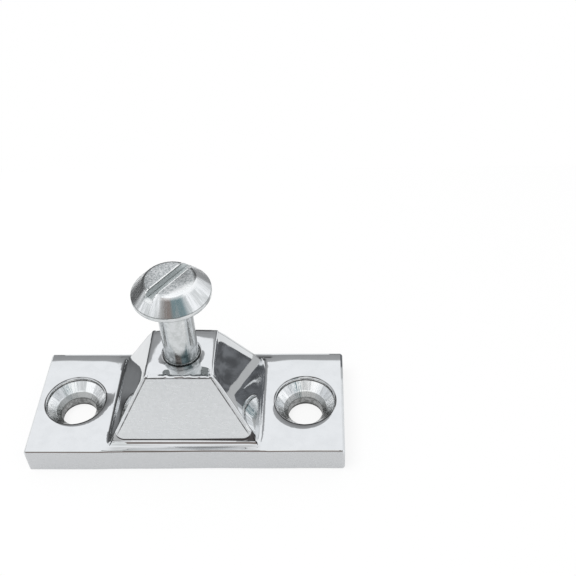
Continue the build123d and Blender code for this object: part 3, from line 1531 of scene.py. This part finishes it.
        # Roughness and height
        rough = sheet.add_up(self.mirror, (buffed, self.satin - self.mirror),
                             (sheet.product(lines["Mask"], buffed), 0.08), (in_hole, self.sunk),
                             (sheet.most(tapped, bore), 0.2))
        waves = HandPolish.place(sheet, spot.at, Wave_Depth=0.045, Swirl_Depth=0.0002)["Height"]
        beside = sheet.product(sheet.ramp(spot.side_x, 12.6, 13.6), sheet.below(spot.side_x, 15.2, 16.4),
                               sheet.below(spot.z, 7.6, 8.8), sheet.ramp(spot.z, 5.3, 5.42))
        height = sheet.add_up(waves, (lines["Height"], buffed), (hole_height, 1.0), (mop["Height"], beside),
                              (pits, -0.02))
        sheet.surface(sheet.node("ShaderNodeBsdfPrincipled", {
            "Base Color": colour, "Metallic": 1.0, "Roughness": rough, "Normal": sheet.bump(height)}))
        return material


@dataclass(frozen=True)
class TurnedSteel:
    """Turned stainless, buffed on its shank and cone, and left grainy on the flat of its head.

    Attributes:
        screw: The pivot screw, whose sizes give the places.
        steel: Colour of the buffed steel.
        grain_and_highlight: Colour of the flat's raised specks and of a lighter tone over the head, and of
            the painted highlights on the shoulder, along the slot's brinks and in its mouth.
        pitted: Colour between those raised specks.
        dull_and_shade: Colour of the shank's smudges and of the cone's spokes, which are rougher and hold
            painted shade.
        slot: Colour of the slot's floor and of the thread.
        shade: Colour of the painted shade in the slot's corners and under the head's rim, and of the painted
            dark reflection on the flare.
        shank: Roughness of the shank.
        flat: Roughness of the flat of the head.
    """

    screw: PivotScrew
    steel: Colour = (0.77, 0.785, 0.795)
    grain_and_highlight: Colour = (0.95, 0.965, 0.97)
    pitted: Colour = (0.54, 0.58, 0.585)
    dull_and_shade: Colour = (0.60, 0.62, 0.62)
    slot: Colour = (0.72, 0.75, 0.75)
    shade: Colour = (0.16, 0.175, 0.175)
    shank: float = 0.15
    flat: float = 0.5

    def make(self) -> bpy.types.Material:
        """Draws the material.

        Returns:
            The material.
        """
        material, sheet = NodeSheet.material("turned_and_buffed_screw")
        spot = Spot(sheet)
        height, top, seat = spot.z, self.screw.head_top, self.screw.seat
        half_slot = self.screw.slot_width / 2.0
        marks = TurnedRings.place(sheet, spot.at, Ring_Depth=0.0012)

        # The flat, the slot with its mouth at the lower end, painted shade in the slot's corners, and painted
        # highlights in its mouth and along its brinks
        up = sheet.ramp(spot.up, 0.9, 0.99)
        flat = sheet.product(up, sheet.ramp(height, top - 0.25, top - 0.1))
        on_head = sheet.ramp(height, top - 3.2, top - 3.0)
        turn = math.radians(self.screw.slot_turn)
        along_slot = sheet.along(spot.at, (math.cos(turn), math.sin(turn), 0.0))
        aside = sheet.size(sheet.along(spot.at, (-math.sin(turn), math.cos(turn), 0.0)))
        between_walls = sheet.below(aside, half_slot + 0.01, half_slot + 0.04)
        mouth = sheet.product(up, sheet.ramp(marks["Radius"], 4.5, 4.9),
                              sheet.ramp(along_slot, -1.0, 1.0, 1.0, 0.2))
        slot = sheet.product(between_walls, on_head, sheet.ramp(height, top - 1.5, top - 1.4),
                             sheet.minus(1.0, mouth))
        # Painted highlight: the floor at the slot's mouth is coloured bright and made less metallic
        in_mouth = sheet.product(between_walls, mouth, on_head)
        # Painted shade at the top of the slot's walls and in the floor's corners
        corners = sheet.product(slot, sheet.most(sheet.ramp(height, top - 0.32, top - 0.2),
                                                 sheet.product(up, sheet.ramp(aside, 0.72, 0.85))))
        # Painted highlights: bright lines along the slot's brinks, made less metallic
        brink_highlight = sheet.product(sheet.ramp(height, top - 0.9, top - 0.7),
                             sheet.ramp(aside, half_slot + 0.025, half_slot + 0.055),
                             sheet.below(aside, half_slot + 0.17, half_slot + 0.23))

        # The cone's spokes with painted shade, the painted highlight on its shoulder and the painted shade at
        # its rim
        cone = sheet.minus(on_head, sheet.most(flat, slot))
        # Painted highlight on the shoulder towards the front right
        shine = sheet.product(sheet.ramp(sheet.along(spot.at, (0.62, -0.78, 0.0)), 2.6, 3.7),
                              sheet.ramp(height, top - 0.75, top - 0.35))
        # Painted shade: darker, rougher spokes round the cone
        dull_and_shade = sheet.product(cone, marks["Spokes"], 0.85, sheet.minus(1.0, shine))
        # Painted shade: a dark line at the rim's upper edge, and the head's underside coloured dark
        under_rim = sheet.product(sheet.below(height, top - 3.65, top - 3.5),
                                  sheet.ramp(marks["Radius"], 3.3, 3.4), 0.8)
        shaded = sheet.product(sheet.most(sheet.line(height, top - 2.87, 0.05, 0.12, 0.6), under_rim),
                               sheet.ramp(height, top - 3.9, top - 3.8))

        # The pin below the head
        thread = sheet.below(height, seat - 0.1, seat)
        smudge = sheet.ramp(sheet.noise(spot.at, 1.1, 3.0, 0.6), 0.35, 0.65, 0.35, 1.0)
        pin = sheet.product(smudge, sheet.minus(1.0, on_head))
        # Painted dark reflection: the flare above the foot is darkened in patches
        flare = sheet.product(sheet.below(height, seat + 1.6, seat + 5.0, 0.85),
                              sheet.ramp(sheet.noise(spot.at, 0.8, 3.0, 0.6), 0.4, 0.6, 0.35, 1.0),
                              sheet.minus(1.0, thread))

        speckle = sheet.noise(spot.at, 2.3, 4.0, 0.75)
        # The flat's raised specks, with the painted highlight of the shoulder laid over them
        grain_and_highlight = sheet.product(flat, sheet.most(sheet.ramp(speckle, 0.4, 0.6, 0.1, 1.0), shine))
        colour = sheet.coats(self.steel, (sheet.product(on_head, 0.6), self.grain_and_highlight), (flat, self.pitted),
                             (grain_and_highlight, self.grain_and_highlight), (sheet.most(dull_and_shade, pin), self.dull_and_shade),
                             (sheet.most(slot, sheet.product(thread, 0.6)), self.slot), (flare, self.shade),
                             (sheet.product(corners, 0.75), self.shade), (shaded, self.shade),
                             (in_mouth, self.grain_and_highlight), (brink_highlight, self.grain_and_highlight))
        # Painted highlights are made less metallic, so that they stay bright
        metal = sheet.most(brink_highlight, sheet.product(sheet.most(in_mouth, shine), 0.5))
        rough = sheet.add_up(self.shank, (flat, self.flat - self.shank), (slot, 0.25), (thread, 0.15),
                             (dull_and_shade, 0.2), (brink_highlight, 0.25))
        polish = HandPolish.place(sheet, spot.at, Wave_Depth=0.012, Swirl_Depth=0.0006)["Height"]
        bumps = sheet.add_up(polish, (marks["Height"], 1.0), (sheet.product(speckle, flat), 0.06))
        around = sheet.node("ShaderNodeTangent", direction_type="RADIAL", axis="Z").outputs[0]
        sheet.surface(sheet.node("ShaderNodeBsdfPrincipled", {
            "Base Color": colour, "Metallic": sheet.add_up(1.0, (metal, -0.85)), "Roughness": rough,
            "Normal": sheet.bump(bumps), "Tangent": around,
            "Anisotropic": 0.55, "Anisotropic Rotation": 0.25}))
        return material


# Studio


@dataclass(frozen=True)
class Card:
    """A card that only shows as a reflection in the metal. Places are in metres.

    Attributes:
        name: Its name.
        size: Its length, width and height.
        centre: Its middle.
        tone: Its colour in the reflection.
        tilt: Its turn about Y, in degrees.
        mottle: How far its tone varies, as a share.
    """

    name: str
    size: tuple[float, float, float]
    centre: tuple[float, float, float]
    tone: Colour
    tilt: float = 0.0
    mottle: float = 0.0

    def stand(self) -> None:
        """Stands the card on the table."""
        card = Bench.block(self.name, self.size, (0.0, 0.0, 0.0))
        card.location = self.centre
        card.rotation_euler = (0.0, math.radians(self.tilt), 0.0)
        material, sheet = NodeSheet.material(self.name)
        cloud = sheet.noise(sheet.node("ShaderNodeTexCoord").outputs["Object"], 230.0, 4.0, 0.6)
        strength = sheet.ramp(cloud, 0.35, 0.65, 1.0 - self.mottle, 1.0 + self.mottle)
        sheet.surface(sheet.node("ShaderNodeEmission", {"Color": self.tone, "Strength": strength}))
        card.data.materials.append(material)
        card.visible_camera = False
        card.visible_diffuse = False
        card.visible_shadow = False


@dataclass(frozen=True)
class Studio:
    """A white table in a light tent, which is dark low down at the back and in a patch in front.

    Attributes:
        floor_colour: Colour of the table.
        fill: Brightness of the tent in diffuse light.
        lens: Focal length in millimetres.
        sensor: Width of the camera's sensor, in millimetres.
        place: The camera's place, in metres.
        angles: The camera's angles about X, Y and Z, in degrees.
        lamp_place: The soft lamp's place, in metres.
        cards: The cards that the metal reflects: a dark one with a slit of light and a pale edge behind on
            the right, two bright ones in front of the boss, and a grey one that lies behind on the right.
    """

    floor_colour: Colour = (0.86, 0.86, 0.86)
    fill: float = 0.75
    lens: float = 53.99
    sensor: float = 36.0
    place: tuple[float, float, float] = (0.0260362, -0.1076038, 0.1360445)
    angles: tuple[float, float, float] = (46.8931, 1.8604, 1.3896)
    lamp_place: tuple[float, float, float] = (-0.25, -0.1, 0.7)
    cards: tuple[Card, ...] = (
        Card("grey_card", (0.0188, 0.001, 0.026), (0.0419, 0.0285, 0.013), (0.14, 0.145, 0.155), mottle=0.35),
        Card("slit", (0.0078, 0.0002, 0.00035), (0.0397, 0.0278, 0.0144), (0.95, 0.96, 0.97), tilt=16.4),
        Card("pale_card", (0.004, 0.001, 0.026), (0.0535, 0.0285, 0.013), (0.55, 0.56, 0.57)),
        Card("right_glow", (0.015, 0.0004, 0.024), (0.0215, -0.0145, 0.0202), (1.0, 1.0, 1.0)),
        Card("left_glow", (0.024, 0.0004, 0.024), (-0.0242, -0.0145, 0.0202), (0.9, 0.92, 0.93)),
        Card("low_card", (0.04, 0.0155, 0.0002), (0.032, 0.0204, 0.0001), (0.52, 0.525, 0.53)),
    )

    def floor(self) -> None:
        """Lays the table, which metal and camera see as white and which keeps the object's shadow."""
        Bench.clear()
        bpy.ops.mesh.primitive_plane_add(size=1.0, location=(0.0, -0.1075, 0.0))
        bpy.context.object.scale = (0.7, 0.385, 1.0)
        table = Bench.named("white_table")
        material, sheet = NodeSheet.material("white_table")
        rays = sheet.node("ShaderNodeLightPath").outputs
        paint = sheet.node("ShaderNodeBsdfDiffuse", {"Color": self.floor_colour})
        seen = sheet.mix(rays["Is Glossy Ray"], (1.0, 1.0, 1.0), (0.81, 0.82, 0.83))
        glow = sheet.node("ShaderNodeEmission", {"Color": seen, "Strength": 1.0})
        plain = sheet.most(rays["Is Camera Ray"], rays["Is Transmission Ray"])
        share = sheet.add_up(sheet.product(rays["Is Glossy Ray"], 0.6), (plain, 0.82))
        sheet.surface(sheet.node("ShaderNodeMixShader", {0: share, 1: paint.outputs[0], 2: glow.outputs[0]}))
        table.data.materials.append(material)

    def tent_tone(self, sheet: NodeSheet, x: Socket, y: Socket, z: Socket) -> Socket:
        """Draws what the metal reflects of the tent: white, with a gloom low down at the back.

        Args:
            sheet: The world's sheet.
            x: The ray's direction along X.
            y: The same along Y.
            z: The same along Z.

        Returns:
            The colour.
        """
        north = sheet.calc("DIVIDE", y, sheet.calc("SQRT", sheet.add_up(sheet.product(y, y), (x, x))))
        raised = sheet.calc("POWER", sheet.calc("DIVIDE", sheet.most(z, 0.0), 0.684), 2.4)
        low = sheet.product(sheet.ramp(x, -0.2, 0.3, 0.05, 0.26), sheet.below(z, -0.02, 0.1))
        gloom = sheet.add_up(low, (sheet.add_up(0.06, (raised, 0.32)), 1.0))
        pinch = sheet.add_up(0.36, (sheet.below(z, 0.1, 0.2), 0.2))
        narrow = sheet.minus(north, sheet.product(sheet.ramp(x, -0.2, 0.3), pinch))
        narrow = sheet.minus(narrow, sheet.ramp(x, 0.5, 0.62, 0.0, 0.3))
        upper_edge = sheet.add_up(z, (x, -0.093))
        back = sheet.product(sheet.ramp(narrow, 0.12, 0.34), sheet.below(upper_edge, 0.712, 0.724))
        horizon = sheet.product(sheet.below(z, 0.08, 0.24), sheet.ramp(x, 0.2, 0.6, 1.0, 0.25))
        tone = sheet.add_up(1.0, (horizon, -0.84))
        tone = sheet.add_up(tone, (back, sheet.minus(gloom, tone)))
        grey = sheet.node("ShaderNodeCombineColor", {0: tone, 1: sheet.product(tone, 1.01),
                                                     2: sheet.product(tone, 1.03)}).outputs[0]
        patch = sheet.product(sheet.ramp(north, -0.35, -0.5), sheet.ramp(z, 0.3, 0.45),
                              sheet.below(z, 0.78, 0.88), sheet.ramp(x, -0.46, -0.36),
                              sheet.below(x, 0.5, 0.78))
        warm, cool = (0.24, 0.205, 0.19), (0.17, 0.245, 0.265)
        return sheet.mix(patch, grey, sheet.mix(sheet.ramp(x, 0.0, 0.12), warm, cool))

    def tent(self) -> None:
        """Hangs the tent: plain in diffuse light, white to the camera and with its tones to the metal."""
        world = bpy.data.worlds.new("light_tent")
        bpy.context.scene.world = world
        world.use_nodes = True
        sheet = NodeSheet(world.node_tree)
        x, y, z = sheet.axes(sheet.node("ShaderNodeTexCoord").outputs["Generated"])
        tone = self.tent_tone(sheet, x, y, z)
        rays = sheet.node("ShaderNodeLightPath").outputs
        plain = sheet.most(rays["Is Camera Ray"], rays["Is Transmission Ray"])
        colour = sheet.coats((self.fill, self.fill, self.fill), (rays["Is Glossy Ray"], tone),
                             (plain, (1.0, 1.0, 1.0)))
        light = sheet.node("ShaderNodeBackground", {"Color": colour, "Strength": 1.0})
        sheet.node("ShaderNodeOutputWorld", {"Surface": light.outputs[0]})

    def lamp(self) -> None:
        """Hangs one large soft lamp over the table, for the object's shadow."""
        Bench.clear()
        bpy.ops.object.light_add(type="AREA", location=self.lamp_place)
        lamp = bpy.context.object
        lamp.name = "soft_lamp"
        lamp.data.shape = "DISK"
        lamp.data.size = 0.5
        lamp.data.energy = 3.0
        lamp.rotation_euler = (-Vector(self.lamp_place)).to_track_quat("-Z", "Y").to_euler()
        lamp.visible_glossy = False

    def camera(self) -> None:
        """Sets the camera up where the photograph was taken from."""
        Bench.clear()
        bpy.ops.object.camera_add(location=self.place, rotation=tuple(math.radians(a) for a in self.angles))
        eye = bpy.context.object
        eye.name = "photo_camera"
        eye.data.sensor_fit = "HORIZONTAL"
        eye.data.sensor_width = self.sensor
        eye.data.lens = self.lens
        eye.data.clip_start = 0.005
        bpy.context.scene.camera = eye

    def set_up(self) -> None:
        """Sets the whole studio up."""
        self.floor()
        for card in self.cards:
            card.stand()
        self.tent()
        self.lamp()
        self.camera()
        bpy.context.scene.view_settings.view_transform = "Standard"


# Assembly


def report(piece: bpy.types.Object) -> None:
    """Logs what a piece is made of, and how many of its edges don't join two faces.

    Args:
        piece: The piece.
    """
    mesh = piece.data
    uses: dict[tuple[int, int], int] = {}
    for face in mesh.polygons:
        for key in face.edge_keys:
            uses[key] = uses.get(key, 0) + 1
    loose = sum(1 for count in uses.values() if count != 2)
    triangles = sum(len(face.vertices) - 2 for face in mesh.polygons)
    LOG.info("%s: %d faces, %d triangles, %d open edges", piece.name, len(mesh.polygons), triangles, loose)


def main() -> None:
    """Loads the frame, builds and dresses both pieces, and sets the studio up."""
    logging.basicConfig(level=logging.INFO, format="%(name)s %(message)s")
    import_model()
    for maker in (HingeBase(), PivotScrew()):
        piece = maker.build()
        maker.dress(piece)
        report(piece)
    Studio().set_up()


if __name__ == "__main__":
    main()
